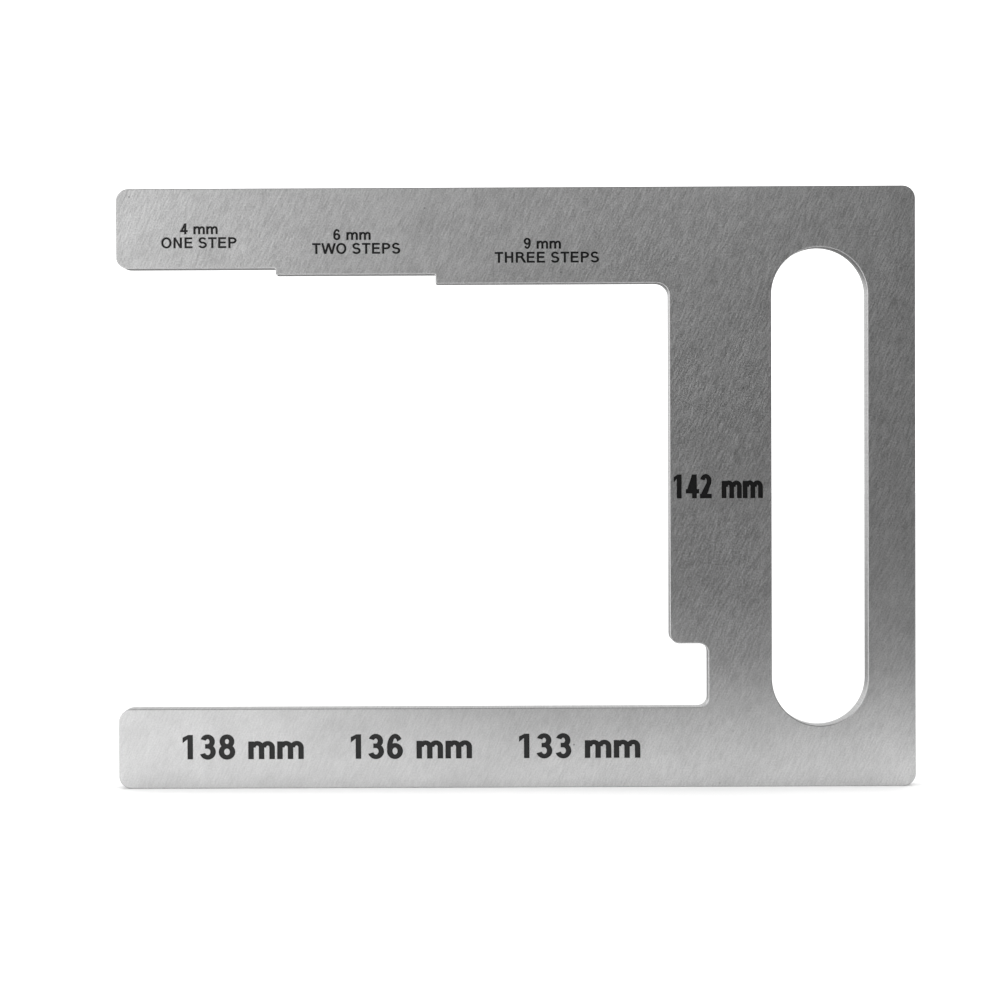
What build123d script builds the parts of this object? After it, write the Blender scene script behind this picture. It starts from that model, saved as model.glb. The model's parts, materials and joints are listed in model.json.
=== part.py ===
from build123d import *
import os

# Rail wear gauge: one stainless steel plate that is pushed over a rail from the side.
# The rail's foot lies on the lower arm, and its worn head passes under as many of the
# upper arm's steps as the wear allows. Millimetres.
# X runs along the arms to the handle, Y through the plate from its marked face, Z up.
# The origin is at the middle of the bottom edge, halfway through the plate.

# The rail that the gauge is made for
rail_height = 142.0            # new rail, from the underside of the foot to the top of the head
rail_foot_width = 120.0

# Wear in height that lets the head pass under each step, from the tips inwards
wear_limits = (4.0, 6.0, 9.0)

# Plate
plate_thickness = 8.0
lower_arm_height = 25.0
upper_arm_height = 25.0        # at the tip, where the arm is slimmest
arm_reach = 125.0              # from the middle of a rail pushed home to the arms' tips
step_length = 50.0             # of each step but the last, which runs on to the neck
neck_width = 32.0

# Notch that lets the edge of the foot in past the neck, until it meets the stop
notch_depth = 12.0
notch_height = 20.0

# Hand slot, with the outer bar that the fingers close round
slot_width = 30.0
slot_length = 150.0
outer_bar_width = 15.0

# Corners
outer_corner_radius = 4.0      # the plate's four corners and the two arms' inner tips
throat_corner_radius = 4.0     # where the last step meets the neck
notch_corner_radius = 3.0      # the nose over the notch and the notch's two inner corners
step_corner_radius = 0.4       # the steps, as crisp as the cutting beam leaves them
edge_break = 0.3               # chamfer where the cut walls meet the two faces

# Heights above the bottom edge
seat_z = lower_arm_height
step_z = [seat_z + rail_height - wear for wear in wear_limits]
plate_height = step_z[0] + upper_arm_height
notch_top_z = seat_z + notch_height

# Stations along the plate, from the middle of a rail pushed home
tip_x = -arm_reach
stop_x = rail_foot_width / 2
neck_x = stop_x - notch_depth
slot_left_x = neck_x + neck_width
slot_right_x = slot_left_x + slot_width
handle_x = slot_right_x + outer_bar_width
middle_x = (tip_x + handle_x) / 2
step_starts = [tip_x + step_length * number for number in range(len(wear_limits))]
step_ends = step_starts[1:] + [neck_x]


def rectangle(left, right, bottom, top):
    """A rectangle given by its four sides."""
    return Pos((left + right) / 2, (bottom + top) / 2) * Rectangle(right - left, top - bottom)


def throat():
    """The opening for the rail, as one bay under each step."""
    return [rectangle(start, end, seat_z, z) for start, end, z in zip(step_starts, step_ends, step_z)]


def foot_notch():
    """The way past the neck for the edge of the foot, up to the stop."""
    return rectangle(step_starts[-1], stop_x, seat_z, notch_top_z)


def hand_slot():
    """A slot with round ends, upright and at half the plate's height."""
    middle = ((slot_left_x + slot_right_x) / 2, plate_height / 2)
    return Pos(*middle) * SlotOverall(slot_length, slot_width, rotation=90)


def rounded(outline, radius, places):
    """The outline with the corners at these places rounded."""
    corners = [outline.vertices().sort_by_distance((x, z, 0))[0] for x, z in places]
    return fillet(corners, radius)


def plate_outline():
    """The plate's outline, with every corner rounded as it is cut."""
    outline = rectangle(tip_x, handle_x, 0, plate_height) - throat() - foot_notch()
    outline = rounded(outline, outer_corner_radius, [
        (tip_x, 0), (handle_x, 0), (handle_x, plate_height), (tip_x, plate_height),
        (tip_x, seat_z), (tip_x, step_z[0]),
    ])
    outline = rounded(outline, throat_corner_radius, [(neck_x, step_z[-1])])
    outline = rounded(outline, notch_corner_radius, [
        (neck_x, notch_top_z), (stop_x, notch_top_z), (stop_x, seat_z),
    ])
    for x, upper, lower in zip(step_starts[1:], step_z, step_z[1:]):
        outline = rounded(outline, step_corner_radius, [(x, upper), (x, lower)])
    return outline - hand_slot()


def gauge_plate():
    """The plate, upright and centred on its own length, with the edges of both faces broken."""
    centred = Pos(-middle_x, 0) * plate_outline()
    plate = extrude(Plane.XZ * centred, plate_thickness / 2, both=True)
    return chamfer(plate.faces().filter_by(Axis.Y).edges(), edge_break)


os.makedirs("parts", exist_ok=True)
export_step(gauge_plate(), "parts/gauge_plate.step")
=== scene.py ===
import json
from collections import namedtuple
from math import ceil, cos, pi, radians, sin

import bmesh
import bpy
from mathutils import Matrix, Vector
from mathutils.geometry import delaunay_2d_cdt


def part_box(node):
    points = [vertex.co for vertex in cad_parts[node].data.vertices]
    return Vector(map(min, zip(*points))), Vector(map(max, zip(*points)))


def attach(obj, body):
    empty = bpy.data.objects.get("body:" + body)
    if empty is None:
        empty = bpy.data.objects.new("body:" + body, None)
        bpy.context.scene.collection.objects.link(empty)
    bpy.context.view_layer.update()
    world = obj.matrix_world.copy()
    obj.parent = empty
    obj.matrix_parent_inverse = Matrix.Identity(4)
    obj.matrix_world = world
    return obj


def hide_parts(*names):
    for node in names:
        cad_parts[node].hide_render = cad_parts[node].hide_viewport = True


# Rail wear gauge: a plate of sanded stainless steel with engraved figures filled with black paint.
# The plate is worked out in millimetres and turned to metres as its mesh is made.

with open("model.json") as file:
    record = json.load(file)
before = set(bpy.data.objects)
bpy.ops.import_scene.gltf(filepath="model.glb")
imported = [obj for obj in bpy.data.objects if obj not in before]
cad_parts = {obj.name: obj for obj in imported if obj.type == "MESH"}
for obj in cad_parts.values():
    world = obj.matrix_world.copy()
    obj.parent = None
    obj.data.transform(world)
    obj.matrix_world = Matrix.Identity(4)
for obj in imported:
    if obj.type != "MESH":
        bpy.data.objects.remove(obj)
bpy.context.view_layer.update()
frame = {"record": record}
MM = 0.001

# The plate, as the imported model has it
lowest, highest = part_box("gauge_plate")
tip_x, front_y, bottom_z = (value / MM for value in lowest)
handle_x, back_y, top_z = (value / MM for value in highest)
mounts = {mount["name"]: [value / MM for value in mount["pos_m"]] for mount in frame["record"]["mounts"]}
seat_z = mounts["rail_foot_seat"][2]
stop_x = mounts["foot_stop"][0]
step_z = [mounts[name][2] for name in ("wear_step_one", "wear_step_two", "wear_step_three")]
slot_x, _, slot_z = mounts["hand_slot"]

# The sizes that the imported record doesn't give, as the CAD source has them
step_length = 50.0
notch_depth = 12.0
notch_height = 20.0
slot_width = 30.0
slot_length = 150.0
outer_corner_radius = 4.0
throat_corner_radius = 4.0
notch_corner_radius = 3.0
step_corner_radius = 0.4
edge_break = 0.3

neck_x = stop_x - notch_depth
notch_top_z = seat_z + notch_height
second_step_x = tip_x + step_length
third_step_x = second_step_x + step_length

# How finely the round stretches are drawn
arc_step = 0.25                # longest chord on a corner
fewest_parts = 4               # chords on the smallest corner
rim_rounds = 3                 # facets on the broken edge
glyph_arc_parts = 10           # to each quarter of a figure's curve
weld_distance = 0.001          # within which points are one
smallest_gap = 0.0001          # between strokes that count as apart
sharp_angle = 40.0             # from which an edge is shaded as sharp, in degrees

# Engraving
engraved_depth = 0.75
paint_level = 0.6              # of the paint's surface below the plate's face

# The figures are drawn to a cap height of one, from the line up and from their left side along.
# A pen gives the widths of their upright and level strokes.
Pen = namedtuple("Pen", "stem bar")
fine_pen = Pen(0.205, 0.18)
bold_pen = Pen(0.225, 0.19)
narrow_pen = Pen(0.27, 0.185)  # for the neck, where the line is squeezed

overshoot = 0.017              # by which round figures pass the cap height and the line
small_letter_height = 0.725
digit_advance = 0.777


def box(left, right, bottom, top):
    """A rectangle, anticlockwise."""
    return [(left, bottom), (right, bottom), (right, top), (left, top)]


def slope(low_left, high_left, width, bottom=0.0, top=1.0):
    """A slanting stroke with level ends, from its left edge at the bottom and at the top."""
    return [(low_left, bottom), (low_left + width, bottom), (high_left + width, top), (high_left, top)]


def on_ellipse(sides, angle, stem=0.0, bar=0.0):
    """A point on the ellipse in a box, moved in by a stroke's width."""
    left, right, bottom, top = sides
    across = (right - left) / 2 - stem
    up = (top - bottom) / 2 - bar
    turn = radians(angle)
    return (left + right) / 2 + across * cos(turn), (bottom + top) / 2 + up * sin(turn)


def bow(pen, sides, start, end):
    """A curved stroke inside a box, from one angle anticlockwise to another."""
    parts = ceil(abs(end - start) / 90 * glyph_arc_parts)
    angles = [start + (end - start) * number / parts for number in range(parts + 1)]
    outer = [on_ellipse(sides, angle) for angle in angles]
    inner = [on_ellipse(sides, angle, pen.stem, pen.bar) for angle in reversed(angles)]
    return outer + inner


def ring(pen, sides):
    """A closed round stroke, as two halves."""
    return [bow(pen, sides, 0, 180), bow(pen, sides, 180, 360)]


def bars(pen, left, rights, middles):
    """Level strokes from one left side, each with its own right side and height."""
    return [box(left, right, z - pen.bar / 2, z + pen.bar / 2) for right, z in zip(rights, middles)]


def one(pen):
    right = 0.5 + pen.stem / 4
    left = right - pen.stem
    flag = [(0.13, 0.66), (left, 0.82), (right, 1), (left + 0.03, 1), (0.13, 0.66 + pen.bar * 1.2)]
    return [box(left, right, 0, 1), flag]


def two(pen):
    sides = (0.045, 0.69, 0.42, 1 + overshoot)
    end = -38
    tail = [(0.04, pen.bar / 2), (0.04 + pen.stem * 1.4, pen.bar / 2),
            on_ellipse(sides, end), on_ellipse(sides, end, pen.stem, pen.bar)]
    return [bow(pen, sides, end, 165), tail, box(0.04, 0.7, 0, pen.bar)]


def three(pen):
    waist = 0.53
    upper = (0.075, 0.675, waist - pen.bar / 2, 1 + overshoot)
    lower = (0.05, 0.71, -overshoot, waist + pen.bar / 2)
    return [bow(pen, upper, -90, 162), bow(pen, lower, -162, 90)] + bars(pen, 0.27, [0.38], [waist])


def four(pen):
    right = 0.51 + pen.stem / 2
    left = right - pen.stem
    level = 0.295
    return [
        box(left, right, 0, 1),
        slope(0.02, right - pen.stem, pen.stem, level - pen.bar / 2, 1),
        box(0.02, right + 0.13, level - pen.bar / 2, level + pen.bar / 2),
    ]


def six(pen):
    back = (0.054, 0.72, -0.1, 1 + overshoot)
    return ring(pen, (0.054, 0.706, -overshoot, 0.64)) + [bow(pen, back, 38, 190)]


def eight(pen):
    waist = 0.53
    upper = (0.085, 0.692, waist - pen.bar / 2, 1 + overshoot)
    lower = (0.05, 0.727, -overshoot, waist + pen.bar / 2)
    return ring(pen, upper) + ring(pen, lower)


def nine(pen):
    return [[(digit_advance - x, 1 - z) for x, z in outline] for outline in six(pen)]


def small_m(pen):
    first, gap = 0.09, 0.43
    rise = 0.27
    crown = small_letter_height + overshoot
    strokes = [box(first, first + pen.stem, 0, small_letter_height)]
    for left in (first, first + gap):
        right = left + gap + pen.stem
        strokes.append(bow(pen, (left + pen.stem / 3, right, crown - 2 * rise, crown), 0, 180))
        strokes.append(box(right - pen.stem, right, 0, crown - rise))
    return strokes


def capital_e(pen):
    left, half = 0.11, pen.bar / 2
    return [box(left, left + pen.stem, 0, 1)] + bars(pen, left, [0.86, 0.8, 0.835], [half, 0.52, 1 - half])


def capital_h(pen):
    left, right = 0.112, 0.896
    uprights = [box(left, left + pen.stem, 0, 1), box(right - pen.stem, right, 0, 1)]
    return uprights + bars(pen, left, [right], [0.53])


def capital_n(pen):
    left, right = 0.107, 0.894
    uprights = [box(left, left + pen.stem, 0, 1), box(right - pen.stem, right, 0, 1)]
    return uprights + [slope(right - pen.stem, left, pen.stem)]


def capital_o(pen):
    return ring(pen, (0.068, 1.024, -overshoot, 1 + overshoot))


def bowl(pen, right, bottom):
    """The stem and the bowl of a P or an R."""
    left, bend = 0.11, 0.49
    sides = (2 * bend - right, right, bottom, 1)
    levels = bars(pen, left, [bend, bend], [bottom + pen.bar / 2, 1 - pen.bar / 2])
    return [box(left, left + pen.stem, 0, 1), bow(pen, sides, -90, 90)] + levels


def capital_p(pen):
    return bowl(pen, 0.875, 0.407)


def capital_r(pen):
    bottom = 0.444
    return bowl(pen, 0.855, bottom) + [slope(0.85, 0.5, pen.stem * 1.25, 0, bottom + pen.bar / 2)]


def capital_s(pen):
    waist = 0.51
    upper = (0.095, 0.825, waist - pen.bar / 2, 1 + overshoot)
    lower = (0.063, 0.859, -overshoot, waist + pen.bar / 2)
    return [bow(pen, upper, 20, 270), bow(pen, lower, -165, 90)]


def capital_t(pen):
    left, right = 0.033, 0.826
    middle = (left + right) / 2
    upright = box(middle - pen.stem / 2, middle + pen.stem / 2, 0, 1)
    return [upright] + bars(pen, left, [right], [1 - pen.bar / 2])


def capital_w(pen):
    feet = (0.285, 0.893)
    heads = (0.017, 0.589, 1.165)
    return [slope(feet[0], heads[0], pen.stem), slope(feet[0], heads[1], pen.stem),
            slope(feet[1], heads[1], pen.stem), slope(feet[1], heads[2], pen.stem)]


# Each figure's shape, and the room it takes along the line
figures = {
    " ": (lambda pen: [], 0.388),
    "1": (one, digit_advance), "2": (two, digit_advance), "3": (three, digit_advance),
    "4": (four, digit_advance), "6": (six, digit_advance), "8": (eight, digit_advance),
    "9": (nine, digit_advance), "m": (small_m, 1.18),
    "E": (capital_e, 0.932), "H": (capital_h, 1.009), "N": (capital_n, 1.009),
    "O": (capital_o, 1.087), "P": (capital_p, 0.932), "R": (capital_r, 1.009),
    "S": (capital_s, 0.932), "T": (capital_t, 0.853), "W": (capital_w, 1.319),
}


def line_of_figures(words, pen, cap, middle, base, squeeze=1.0):
    """The outlines of a line of figures, centred on its own ink."""
    strokes, pen_x = [], 0.0
    for letter in words:
        shape, advance = figures[letter]
        strokes += [[(pen_x + x, z) for x, z in outline] for outline in shape(pen)]
        pen_x += advance
    inked = [x for outline in strokes for x, _ in outline]
    centre = (min(inked) + max(inked)) / 2
    width = cap * squeeze
    return [[(middle + (x - centre) * width, base + z * cap) for x, z in outline] for outline in strokes]


# Step legends: the wear in height, and how many steps it lets the head pass.
# Each line comes with the place of its middle along the plate.
legend_cap = 3.4
legend_rise = 6.4              # of the lower line over the step's underside
line_spacing = 4.35
step_legends = {
    "paint_one_step": ("4 mm", -98.9, "ONE STEP", -98.9),
    "paint_two_steps": ("6 mm", -51.0, "TWO STEPS", -49.7),
    "paint_three_steps": ("9 mm", 8.5, "THREE STEPS", 9.9),
}


def step_legend(number_text, number_x, words, words_x, underside):
    """The two lines over one step."""
    base = underside + legend_rise
    upper = line_of_figures(number_text, fine_pen, legend_cap, number_x, base + line_spacing)
    return upper + line_of_figures(words, fine_pen, legend_cap, words_x, base)


# Height of a new rail on the neck, and of a rail worn to each step on the lower arm
height_cap, height_squeeze = 7.5, 0.745
height_x, height_base = 63.3, 90.5
worn_cap = 7.7
worn_base = 9.2
worn_middles = (-86.0, -33.2, 19.6)


def legends():
    """Every engraved line, by the name of the paint that fills it."""
    found = {name: step_legend(*lines, z) for (name, lines), z in zip(step_legends.items(), step_z)}
    new_height = "142 mm"
    found["paint_new_height"] = line_of_figures(
        new_height, narrow_pen, height_cap, height_x, height_base, height_squeeze)
    found["paint_worn_heights"] = []
    for z, middle in zip(step_z, worn_middles):
        text = f"{z - seat_z:.0f} mm"
        found["paint_worn_heights"] += line_of_figures(text, bold_pen, worn_cap, middle, worn_base)
    return found


def arc_parts(radius):
    """How many chords a quarter circle gets."""
    return max(fewest_parts, ceil(radius * pi / 2 / arc_step))


def plate_corners():
    """The plate's corners with their radii, anticlockwise as seen from its marked face."""
    outer, small = outer_corner_radius, step_corner_radius
    return [
        (tip_x, bottom_z, outer), (handle_x, bottom_z, outer),
        (handle_x, top_z, outer), (tip_x, top_z, outer),
        (tip_x, step_z[0], outer), (second_step_x, step_z[0], small),
        (second_step_x, step_z[1], small), (third_step_x, step_z[1], small),
        (third_step_x, step_z[2], small), (neck_x, step_z[2], throat_corner_radius),
        (neck_x, notch_top_z, notch_corner_radius), (stop_x, notch_top_z, notch_corner_radius),
        (stop_x, seat_z, notch_corner_radius), (tip_x, seat_z, outer),
    ]


def plate_loop(inset):
    """The plate's outline, moved into the metal by an inset."""
    corners = plate_corners()
    points = []
    for before, (x, z, radius), after in zip(corners[-1:] + corners, corners, corners[1:] + corners[:1]):
        corner = Vector((x, z))
        arriving = (corner - Vector(before[:2])).normalized()
        leaving = (Vector(after[:2]) - corner).normalized()
        turns_out = arriving.cross(leaving) > 0
        reach = radius - inset if turns_out else radius + inset
        centre = corner + (leaving - arriving) * radius
        parts = arc_parts(radius)
        for number in range(parts + 1):
            turn = pi / 2 * number / parts
            points.append(tuple(centre + (arriving * sin(turn) - leaving * cos(turn)) * reach))
    return points


def slot_loop(inset):
    """The hand slot's outline, clockwise, moved into the metal by an inset."""
    radius = slot_width / 2
    half_straight = (slot_length - slot_width) / 2
    parts = 2 * arc_parts(radius)
    points = []
    for end, start in ((1, pi), (-1, 0)):
        for number in range(parts + 1):
            turn = start - pi * number / parts
            x = slot_x + (radius + inset) * cos(turn)
            points.append((x, slot_z + end * half_straight + (radius + inset) * sin(turn)))
    return points


def rim_profile():
    """Depth and inset from the marked face to the back, with both edges rounded over."""
    near = []
    for number in range(rim_rounds + 1):
        turn = pi / 2 * number / rim_rounds
        near.append((edge_break * (1 - cos(turn)), edge_break * (1 - sin(turn))))
    thickness = back_y - front_y
    return near + [(thickness - depth, inset) for depth, inset in reversed(near)]


# Where each finish lies in the plate's list of materials
FACE, CUT, PIT = range(3)


class Skin:
    """A mesh in the making: points in millimetres, faces with their finish, joined where they meet."""

    def __init__(self):
        self.points = []
        self.faces = []
        self.finishes = []

    def add(self, corners, finish):
        first = len(self.points)
        self.points += corners
        self.faces.append(list(range(first, first + len(corners))))
        self.finishes.append(finish)

    def strip(self, loop, next_loop, depth, next_depth, finish):
        """A closed band from one loop to the next, facing away from the metal."""
        count = len(loop)
        for here in range(count):
            there = (here + 1) % count
            self.add([
                (loop[here][0], depth, loop[here][1]),
                (next_loop[here][0], next_depth, next_loop[here][1]),
                (next_loop[there][0], next_depth, next_loop[there][1]),
                (loop[there][0], depth, loop[there][1]),
            ], finish)

    def flat(self, triangles, depth, finish, to_front=True):
        """Flat triangles at one depth, facing the front or the back."""
        for triangle in triangles:
            corners = [(x, depth, z) for x, z in triangle]
            self.add(corners if to_front else corners[::-1], finish)

    def made(self, name, materials, smooth_finishes):
        """The object, in metres."""
        mesh = bpy.data.meshes.new(name)
        mesh.from_pydata([[value * MM for value in point] for point in self.points], [], self.faces)
        mesh.polygons.foreach_set("material_index", self.finishes)
        for material in materials:
            mesh.materials.append(material)
        joining = bmesh.new()
        joining.from_mesh(mesh)
        bmesh.ops.remove_doubles(joining, verts=joining.verts, dist=weld_distance * MM)
        joining.to_mesh(mesh)
        joining.free()
        mesh.set_sharp_from_angle(angle=radians(sharp_angle))
        smooth = [face.material_index in smooth_finishes for face in mesh.polygons]
        mesh.polygons.foreach_set("use_smooth", smooth)
        piece = bpy.data.objects.new(name, mesh)
        bpy.context.scene.collection.objects.link(piece)
        return piece


def marked_face(outline, slot, lines):
    """The marked face as triangles: the bare metal, and the engraved part by the line it belongs to."""
    loops = [outline, slot[::-1]] + [stroke for strokes in lines.values() for stroke in strokes]
    owners = [None, None] + [name for name, strokes in lines.items() for _ in strokes]
    points, faces = [], []
    for loop in loops:
        faces.append(list(range(len(points), len(points) + len(loop))))
        points += [Vector(point) for point in loop]
    inside_only = 1
    spots, _, triples, _, _, owning_loops = delaunay_2d_cdt(points, [], faces, inside_only, smallest_gap)
    bare, engraved = [], {name: [] for name in lines}
    for corners, sources in zip(triples, owning_loops):
        triangle = [tuple(spots[corner]) for corner in corners]
        names = [owners[source] for source in sources if owners[source]]
        if names:
            engraved[names[0]].append(triangle)
        elif sources == [0]:
            bare.append(triangle)
    return bare, engraved


def borders(triangles):
    """The directed edges of a set of triangles that no neighbour shares."""
    edges = {(one_end, other_end) for triangle in triangles
             for one_end, other_end in zip(triangle, triangle[1:] + triangle[:1])}
    return [edge for edge in edges if edge[::-1] not in edges]


def engraving_walls(skin, triangles, depth):
    """The walls of the engraved part, down to a depth."""
    for (left_x, left_z), (right_x, right_z) in borders(triangles):
        skin.add([
            (left_x, front_y, left_z), (right_x, front_y, right_z),
            (right_x, front_y + depth, right_z), (left_x, front_y + depth, left_z),
        ], PIT)


def gauge_plate(bare, engraved):
    """The plate, with its broken edges and engraved lines."""
    skin = Skin()
    profile = rim_profile()
    for (depth, inset), (next_depth, next_inset) in zip(profile, profile[1:]):
        for loop in (plate_loop, slot_loop):
            skin.strip(loop(inset), loop(next_inset), front_y + depth, front_y + next_depth, CUT)
    skin.flat(bare, front_y, FACE)
    back, _ = marked_face(plate_loop(edge_break), slot_loop(edge_break), {})
    skin.flat(back, back_y, FACE, to_front=False)
    for triangles in engraved.values():
        engraving_walls(skin, triangles, engraved_depth)
        skin.flat(triangles, front_y + engraved_depth, PIT)
    return skin.made("sanded_plate", [sanded_stainless(), cut_stainless(), filling], {CUT})


def paint_filling(name, triangles):
    """The paint in one engraved line: a closed layer on the floor of the engraving."""
    skin = Skin()
    surface, floor = front_y + paint_level, front_y + engraved_depth
    only_finish = 0
    skin.flat(triangles, surface, only_finish)
    skin.flat(triangles, floor, only_finish, to_front=False)
    for (left_x, left_z), (right_x, right_z) in borders(triangles):
        skin.add([(right_x, surface, right_z), (left_x, surface, left_z),
                  (left_x, floor, left_z), (right_x, floor, right_z)], only_finish)
    return skin.made(name, [filling], set())


def add(tree, kind, inputs=None, **settings):
    """A shader node with its settings, each input given a value or linked from a socket."""
    made = tree.nodes.new("ShaderNode" + kind)
    for name, value in settings.items():
        setattr(made, name, value)
    for name, value in (inputs or {}).items():
        if isinstance(value, bpy.types.NodeSocket):
            tree.links.new(value, made.inputs[name])
        else:
            made.inputs[name].default_value = value
    return made


def linear(code):
    """An sRGB hex colour as the linear colour that a shader takes, with full opacity."""
    colour = []
    for start in (1, 3, 5):
        share = int(code[start:start + 2], 16) / 255
        colour.append(((share + 0.055) / 1.055) ** 2.4 if share > 0.04045 else share / 12.92)
    return colour + [1.0]


def blank_material(name):
    """A material of this name with no nodes yet, and its tree."""
    material = bpy.data.materials.new(name)
    material.use_nodes = True
    material.node_tree.nodes.clear()
    return material, material.node_tree


def finish_material(tree, shader):
    """The shader given to the material's surface."""
    add(tree, "OutputMaterial", {"Surface": shader.outputs[0]})


def grain(tree, size, turn=0.0, detail=2.0, sharpness=0.5):
    """Noise whose patches have this size in millimetres along X, Y and Z, turned upwards from X."""
    place = add(tree, "TexCoord").outputs["Object"]
    spread = add(tree, "Mapping", {
        "Vector": place, "Rotation": (0, -radians(turn), 0),
        "Scale": [length * MM for length in size]}, vector_type="TEXTURE")
    noise = add(tree, "TexNoise", {
        "Vector": spread.outputs["Vector"], "Scale": 1.0, "Detail": detail, "Roughness": sharpness})
    return noise.outputs["Fac"]


def between(tree, value, low, high, start=0.3, end=0.7):
    """A value spread to run from low to high. Noise mostly keeps within the start and end given here."""
    return add(tree, "MapRange", {
        "Value": value, "From Min": start, "From Max": end, "To Min": low, "To Max": high}).outputs["Result"]


def product(tree, first, second):
    """Two values multiplied."""
    return add(tree, "Math", {0: first, 1: second}, operation="MULTIPLY").outputs["Value"]


def total(tree, first, second):
    """Two values added."""
    return add(tree, "Math", {0: first, 1: second}, operation="ADD").outputs["Value"]


def toned(tree, colour, tone):
    """A colour made lighter or darker by a pattern about one."""
    return add(tree, "VectorMath", {0: colour[:3], "Scale": tone}, operation="SCALE").outputs["Vector"]


# Sanding lines and the speckle of cut ends between them. Real lines are 0.02 to 0.05 mm wide.
# They are drawn ten times coarser, so that they show.
sanding_angle = 65.0           # up from the plate's length, in degrees
line_size = (3.0, 3.0, 0.48)
speckle_size = (0.5, 0.5, 0.5)
line_share = 0.5               # of the texture, and the rest is speckle
cloud_size = (14.0, 9.0, 14.0)
sanded_relief = 0.045          # from the lines' floors to their crests
texture_tones = (0.76, 1.24)
cloud_tones = (0.94, 1.06)
sanded_roughness = (0.29, 0.38)

# Painted washout: the texture is weaker on the lower arm, which mirrors the bright table, and stronger
# towards the handle, where the plate is dark. The sanding is real; its strength by place stands in for the
# reflection.
washed_out_share, washed_out_z = 0.5, seat_z
full_z = 115.0
dark_end_share, dark_end_x = 1.45, 40.0
full_x = -20.0


def as_the_reflection_washes_it(tree, texture):
    """A texture about a half, made weaker or stronger by its place on the plate: painted washout, weaker
    where the table's reflection is bright and stronger where the plate is dark.
    """
    place = add(tree, "SeparateXYZ", {"Vector": add(tree, "TexCoord").outputs["Object"]}).outputs
    by_height = between(tree, place["Z"], washed_out_share, 1.0, washed_out_z * MM, full_z * MM)
    by_length = between(tree, place["X"], 1.0, dark_end_share, full_x * MM, dark_end_x * MM)
    share = product(tree, by_height, by_length)
    return add(tree, "Mix", {"Factor": share, "A": 0.5, "B": texture}, clamp_factor=False).outputs["Result"]


# Pits left in the face: how far apart they lie, and their half widths where dark and where they fade out
pit_spacing = 9.0
pit_core, pit_reach = 0.12, 0.42
pit_tone = 0.35


def pits(tree):
    """One on bare steel, and the pits' darker tone in them."""
    place = add(tree, "TexCoord").outputs["Object"]
    cells = add(tree, "TexVoronoi", {"Vector": place, "Scale": 1 / (pit_spacing * MM)})
    return between(
        tree, cells.outputs["Distance"], pit_tone, 1.0, pit_core / pit_spacing, pit_reach / pit_spacing)


def sanded_stainless():
    """Stainless steel plate, sanded with a belt: grey and satin, with short fine lines that all lean one
    way, a cloudy change of tone where the belt bit more or less, and a few dark pits."""
    material, tree = blank_material("sanded_stainless")
    sanding_lines = grain(tree, line_size, sanding_angle, detail=3.0)
    speckle = grain(tree, speckle_size, detail=1.0)
    cloud = grain(tree, cloud_size, detail=3.0, sharpness=0.7)
    even_texture = total(
        tree, product(tree, sanding_lines, line_share), product(tree, speckle, 1 - line_share))
    # Sanding texture with painted washout: weaker on the lower arm under the table's bright reflection,
    # stronger towards the dark handle end
    texture = as_the_reflection_washes_it(tree, even_texture)
    tone = product(tree, between(tree, texture, *texture_tones), between(tree, cloud, *cloud_tones))
    pitted = product(tree, tone, pits(tree))
    relief = add(tree, "Bump", {"Strength": 1.0, "Distance": sanded_relief * MM, "Height": texture})
    shader = add(tree, "BsdfPrincipled", {
        "Base Color": toned(tree, linear("#d2d2d2"), pitted), "Metallic": 1.0,
        "Roughness": between(tree, texture, *sanded_roughness), "Normal": relief.outputs["Normal"]})
    finish_material(tree, shader)
    return material


# Ridges of the laser cut, as wide as they show, and longer than the plate is thick
ridge_size = (0.35, 12.0, 0.35)
cut_relief = 0.02
cut_tones = (0.85, 1.1)
cut_roughness = 0.42


def cut_stainless():
    """The same steel where the laser cut it: duller, with fine ridges straight through the thickness."""
    material, tree = blank_material("cut_stainless")
    ridges = grain(tree, ridge_size)
    tone = between(tree, ridges, *cut_tones)
    relief = add(tree, "Bump", {"Strength": 1.0, "Distance": cut_relief * MM, "Height": ridges})
    shader = add(tree, "BsdfPrincipled", {
        "Base Color": toned(tree, linear("#bfbfbf"), tone), "Metallic": 1.0,
        "Roughness": cut_roughness, "Normal": relief.outputs["Normal"]})
    finish_material(tree, shader)
    return material


# Unevenness of the wiped paint
mottle_size = (0.9, 0.9, 0.9)
paint_tones = (0.7, 1.4)
paint_roughness = 0.34


def black_paint():
    """Black enamel wiped into the engraving: satin and a little uneven."""
    material, tree = blank_material("black_paint")
    mottle = grain(tree, mottle_size, detail=3.0)
    tone = between(tree, mottle, *paint_tones)
    shader = add(tree, "BsdfPrincipled", {
        "Base Color": toned(tree, linear("#060607"), tone), "Roughness": paint_roughness})
    finish_material(tree, shader)
    return material


# From here on, lengths are in metres
table_reach = 0.16             # in front of the plate and behind it
studio_reach = 6.0


def white_card():
    """Matt white card, such as studio tables are covered with: plain and pale, without any shine."""
    material, tree = blank_material("white_card")
    finish_material(tree, add(tree, "BsdfDiffuse", {"Color": linear("#f3f3f3")}))
    return material


def sheet_of(card, name, near, far):
    """A sheet of card as wide as the studio, from one distance behind the plate to another."""
    mesh = bpy.data.meshes.new(name)
    corners = [(x, y, 0) for x, y in box(-studio_reach, studio_reach, near, far)]
    mesh.from_pydata(corners, [], [range(len(corners))])
    mesh.materials.append(card)
    sheet = bpy.data.objects.new(name, mesh)
    bpy.context.scene.collection.objects.link(sheet)
    return sheet


def table():
    """The white table. Its top is mirrored in the steel, and the floor beyond it isn't."""
    card = white_card()
    sheet_of(card, "table_top", -table_reach, table_reach)
    for name, near, far in (
            ("floor_before", -studio_reach, -table_reach), ("floor_behind", table_reach, studio_reach)):
        sheet_of(card, name, near, far).visible_glossy = False


# Strength of the white all round, and of what the metal mirrors of it
white_strength = 1.43
dim_strength = 0.08


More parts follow.
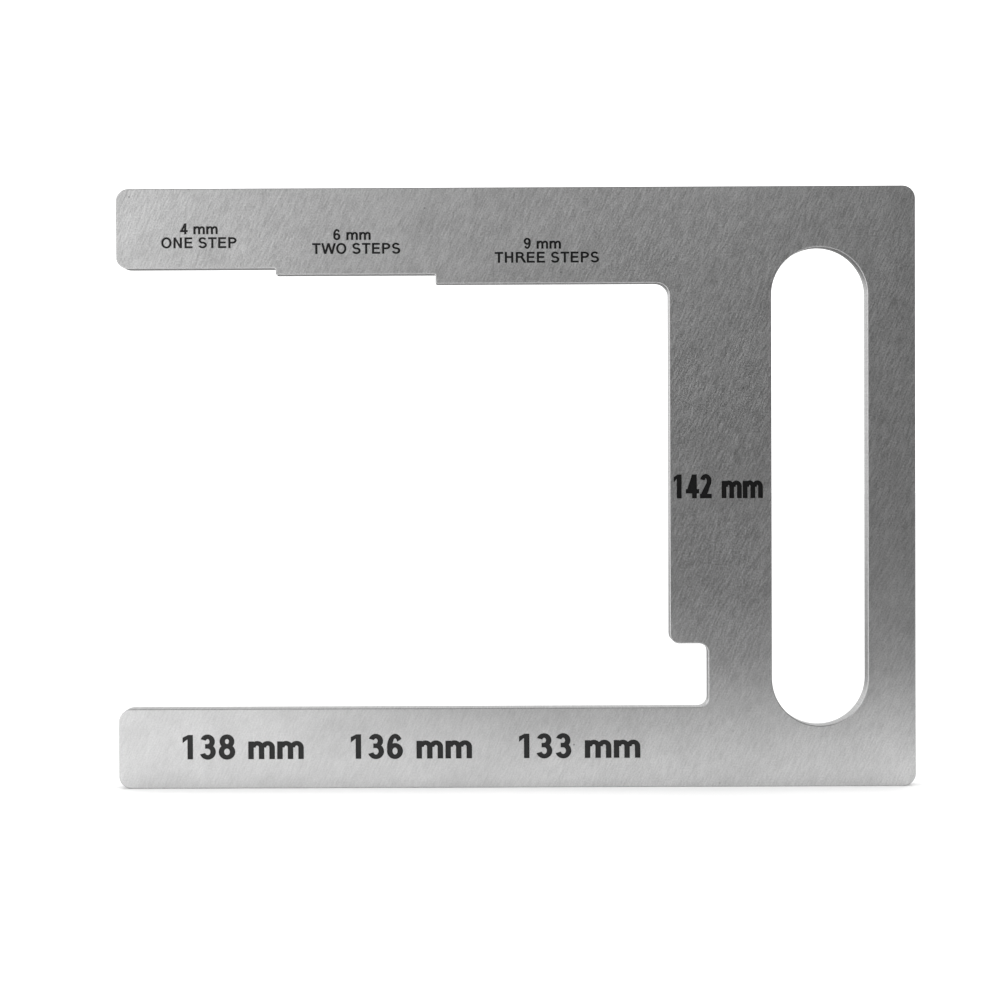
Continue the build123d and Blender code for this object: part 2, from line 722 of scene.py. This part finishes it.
def studio():
    """White all round, but dim where the metal mirrors it."""
    world = bpy.data.worlds.new("studio")
    bpy.context.scene.world = world
    world.use_nodes = True
    tree = world.node_tree
    tree.nodes.clear()
    white = add(tree, "Background", {"Color": linear("#ffffff"), "Strength": white_strength})
    dim = add(tree, "Background", {"Color": linear("#ffffff"), "Strength": dim_strength})
    rays = add(tree, "LightPath")
    both = add(tree, "MixShader", {0: rays.outputs["Is Glossy Ray"], 1: white.outputs[0], 2: dim.outputs[0]})
    add(tree, "OutputWorld", {"Surface": both.outputs[0]})
    world.cycles.sampling_method = "NONE"


# The boards round the table, with a dark gap at the camera and to its right, and mats on the table.
# Each has its brightness, width and height, its middle, and its turn from facing down, in degrees.
Board = namedtuple("Board", "brightness width height middle turn")
to_the_back, to_the_front, to_the_right, to_the_left = (90, 0, 0), (-90, 0, 0), (0, -90, 0), (0, 90, 0)
downwards, upwards = (0, 0, 0), (180, 0, 0)
boards = {
    "board_before": Board(1.4, 1.05, 2.1, (-0.875, -1.3, 1.05), to_the_back),
    "board_on_the_left": Board(1.7, 2.1, 2.8, (-1.4, 0.1, 1.05), to_the_right),
    "board_behind": Board(0.9, 3.0, 2.1, (0.1, 1.5, 1.05), to_the_front),
    "board_on_the_right": Board(0.4, 2.1, 2.4, (1.6, 0.3, 1.05), to_the_left),
    "ceiling": Board(0.3, 3.0, 2.8, (0.1, 0.1, 2.1), downwards),
    "card_over_the_camera": Board(0.68, 0.7, 0.35, (0.0, -1.3, 0.53), to_the_back),
    "mat_on_the_left": Board(0.9, 1.0, 1.1, (-0.6, -0.75, 0.002), upwards),
    "mat_near_the_tips": Board(1.4, 0.5, 0.2, (-0.3, -0.3, 0.002), upwards),
    "mat_on_the_right": Board(0.3, 0.4, 0.6, (0.35, -0.75, 0.002), upwards),
}


def evenly_lit(name, board):
    """A large evenly lit white board, which shows only where a surface mirrors it."""
    light = bpy.data.lights.new(name, "AREA")
    light.shape = "RECTANGLE"
    light.size, light.size_y = board.width, board.height
    light.energy = board.brightness * pi * board.width * board.height
    lamp = bpy.data.objects.new(name, light)
    lamp.location = board.middle
    lamp.rotation_euler = [radians(angle) for angle in board.turn]
    lamp.visible_diffuse = False
    lamp.visible_camera = False
    bpy.context.scene.collection.objects.link(lamp)


# The camera stands 0.8 m in front of the plate, at about half its height
eye_place = (-0.00181, -0.8, 0.10414)
eye_turn = (88.9994, 0.2431, 0.2305)
lens_length = 91.518           # in millimetres, as is the sensor's width
sensor_width = 36.0


def camera():
    """The photograph's view: almost square on, from a little over half the plate's height."""
    data = bpy.data.cameras.new("camera")
    data.sensor_width = sensor_width
    data.lens = lens_length
    eye = bpy.data.objects.new("camera", data)
    eye.location = eye_place
    eye.rotation_euler = [radians(angle) for angle in eye_turn]
    bpy.context.scene.collection.objects.link(eye)
    bpy.context.scene.camera = eye
    bpy.context.scene.view_settings.view_transform = "Standard"


lines = legends()
bare, engraved = marked_face(plate_loop(edge_break), slot_loop(edge_break), lines)
filling = black_paint()
plate = gauge_plate(bare, engraved)
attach(plate, "root")
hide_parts("gauge_plate")
for name, triangles in engraved.items():
    paint = paint_filling(name, triangles)
    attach(paint, "root")
table()
studio()
for name, board in boards.items():
    evenly_lit(name, board)
camera()
